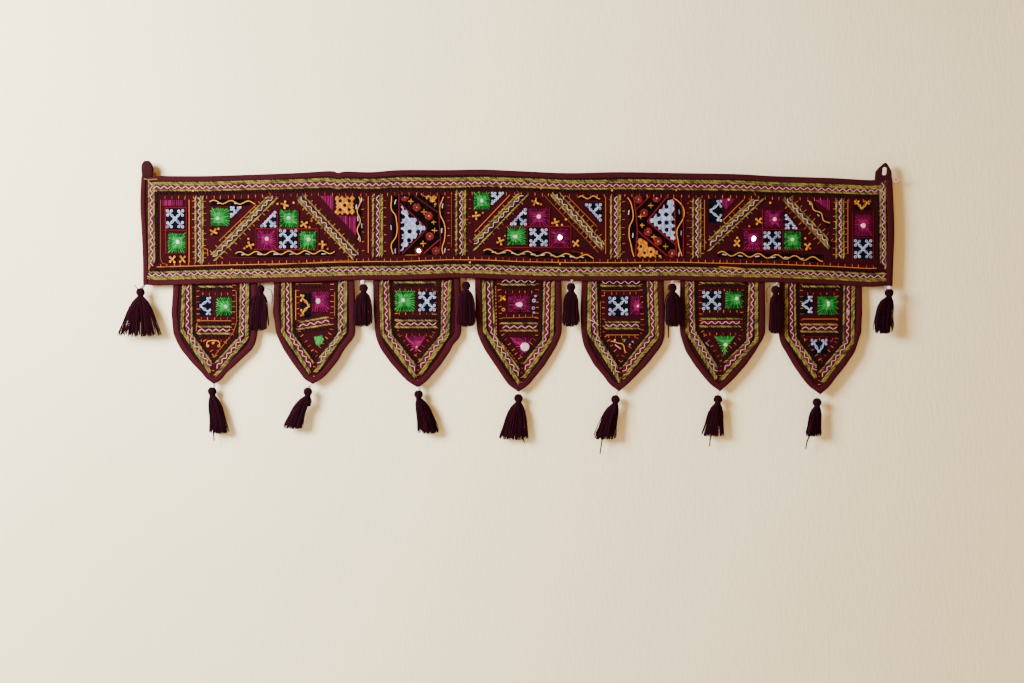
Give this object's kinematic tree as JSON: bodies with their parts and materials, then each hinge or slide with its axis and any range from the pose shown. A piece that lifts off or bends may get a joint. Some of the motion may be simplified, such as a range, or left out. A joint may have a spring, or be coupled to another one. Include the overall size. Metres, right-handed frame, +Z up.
{
  "type": "toran door hanging",
  "caption": "Embroidered door hanging: a long stitched band in folded cloth binding, with pointed flaps, small mirrors and yarn tassels below, hung by tape loops at its top corners",
  "frame": {"origin": "middle of the band's top edge, halfway through its cloth", "axes": "+X along the band to the viewer's right, +Y towards the wall, +Z up"},
  "size_m": [1.0347, 0.0196, 0.391],
  "materials": {
    "ground_cloth": "matt embroidered cotton",
    "binding_cloth": "matt plain cotton",
    "loop_tape": "matt folded cotton tape",
    "tassel_yarn": "soft spun yarn",
    "stitch_thread": "lustrous embroidery thread",
    "mirror_glass": "silvered glass",
    "bead_glass": "small glass bead"
  },
  "bodies": {
    "root": {"band_panel": "ground_cloth", "binding_top": "binding_cloth", "binding_bottom": "binding_cloth", "binding_left": "binding_cloth", "binding_right": "binding_cloth", "loop_left": "loop_tape", "loop_right": "loop_tape", "flap_1": "ground_cloth", "flap_binding_1": "binding_cloth", "flap_2": "ground_cloth", "flap_binding_2": "binding_cloth", "flap_3": "ground_cloth", "flap_binding_3": "binding_cloth", "flap_4": "ground_cloth", "flap_binding_4": "binding_cloth", "flap_5": "ground_cloth", "flap_binding_5": "binding_cloth", "flap_6": "ground_cloth", "flap_binding_6": "binding_cloth", "flap_7": "ground_cloth", "flap_binding_7": "binding_cloth", "tassel_band_1": "tassel_yarn", "tassel_band_2": "tassel_yarn", "tassel_band_3": "tassel_yarn", "tassel_band_4": "tassel_yarn", "tassel_band_5": "tassel_yarn", "tassel_band_6": "tassel_yarn", "tassel_band_7": "tassel_yarn", "tassel_band_8": "tassel_yarn", "tassel_flap_1": "tassel_yarn", "tassel_flap_2": "tassel_yarn", "tassel_flap_3": "tassel_yarn", "tassel_flap_4": "tassel_yarn", "tassel_flap_5": "tassel_yarn", "tassel_flap_6": "tassel_yarn", "tassel_flap_7": "tassel_yarn"}
  },
  "joints": []
}
